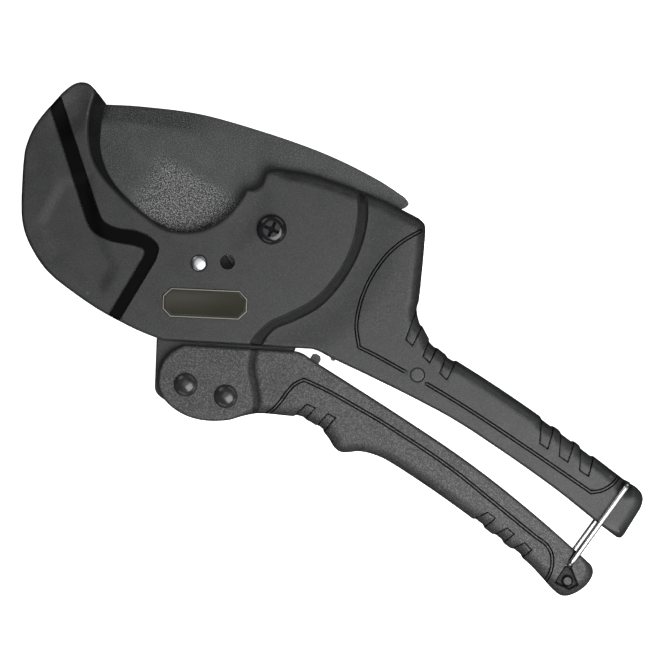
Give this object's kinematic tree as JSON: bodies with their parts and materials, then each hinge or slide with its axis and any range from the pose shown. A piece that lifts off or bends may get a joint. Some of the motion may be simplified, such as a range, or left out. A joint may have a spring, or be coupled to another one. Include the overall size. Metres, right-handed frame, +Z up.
{
  "type": "ratchet plastic pipe cutter",
  "caption": "Ratchet cutter for plastic pipe: hooked jaw and fixed handle in one casting, a curved blade on a pivot, a squeezing lower handle with a drive pawl, and a wire bail latch.",
  "frame": {"origin": "middle of the underside of the whole tool as it lies on its side, closed and latched", "axes": "+X along the tool from the jaw to the ends of the handles, +Y towards the back of the blade, +Z up through the thickness"},
  "size_m": [0.2602, 0.1098, 0.025],
  "materials": {
    "die_cast_paint": "satin near-black powder paint with a fine texture, on an aluminium casting",
    "hammered_paint": "near-black hammered paint with a coarse grain, on an aluminium casting",
    "coated_blade_steel": "dark grey non-stick coating with a sparkling fine grain, on blade steel",
    "black_screw_steel": "glossy black oxide",
    "black_rivet_steel": "black lacquered steel",
    "pawl_steel": "dark hardened steel",
    "bright_pin_steel": "ground and polished",
    "painted_pin_steel": "steel pin end under a thin coat of the body's paint",
    "spring_steel": "drawn wire",
    "chromed_wire": "bright plated wire",
    "bronze": "plain turned bronze",
    "label_plate": "dark printed face with a bare metal edge, no lettering"
  },
  "bodies": {
    "body": {"body_casting": "die_cast_paint", "blade_pivot_screw": "black_screw_steel", "blade_pivot_sleeve": "bronze", "blade_washer_front": "bronze", "blade_washer_rear": "bronze", "blade_pivot_lock_washer": "spring_steel", "blade_pivot_nut": "black_screw_steel", "blade_stop_pin": "bright_pin_steel", "holding_pawl_pin": "bright_pin_steel", "holding_pawl_spring": "spring_steel", "spring_cross_pin": "painted_pin_steel", "handle_pivot_bush": "bronze", "handle_return_spring": "spring_steel", "label_plate": "label_plate"},
    "blade": {"blade": "coated_blade_steel"},
    "lower_handle": {"lower_handle_casting": "hammered_paint", "handle_pivot_rivet": "black_rivet_steel", "drive_pawl_rivet": "black_rivet_steel", "drive_pawl_spacer_front": "bronze", "drive_pawl_spacer_rear": "bronze", "drive_pawl_spring": "spring_steel"},
    "drive_pawl": {"drive_pawl": "pawl_steel"},
    "holding_pawl": {"holding_pawl": "pawl_steel"},
    "bail": {"bail_wire": "chromed_wire"}
  },
  "joints": [
    {"name": "blade_swing", "type": "hinge", "parent": "body", "child": "blade", "pos_m": [-0.03704, 0.01909, 0.0125], "axis": [0, 0, -1], "range_deg": [0, 62]},
    {"name": "handle_swing", "type": "hinge", "parent": "body", "child": "lower_handle", "pos_m": [-0.03424, -0.04511, 0.0125], "axis": [0, 0, -1], "range_deg": [0, 24]},
    {"name": "drive_pawl_swing", "type": "hinge", "parent": "lower_handle", "child": "drive_pawl", "pos_m": [-0.01964, -0.04111, 0.0125], "axis": [0, 0, -1], "range_deg": [-39.29, 0]},
    {"name": "bail_swing", "type": "hinge", "parent": "lower_handle", "child": "bail", "pos_m": [0.11836, -0.02821, 0.0125], "axis": [0, 0, -1], "range_deg": [0, 196.9]},
    {"name": "holding_pawl_swing", "type": "hinge", "parent": "body", "child": "holding_pawl", "pos_m": [-0.00394, -0.00781, 0.0125], "axis": [0, 0, -1], "range_deg": [0, 12], "stiffness_Nm_per_rad": 0.05}
  ],
  "couplings": [
    {"joint": "drive_pawl_swing", "follows": "handle_swing", "ratio": -1.633},
    {"joint": "bail_swing", "follows": "handle_swing", "ratio": 8.2}
  ]
}
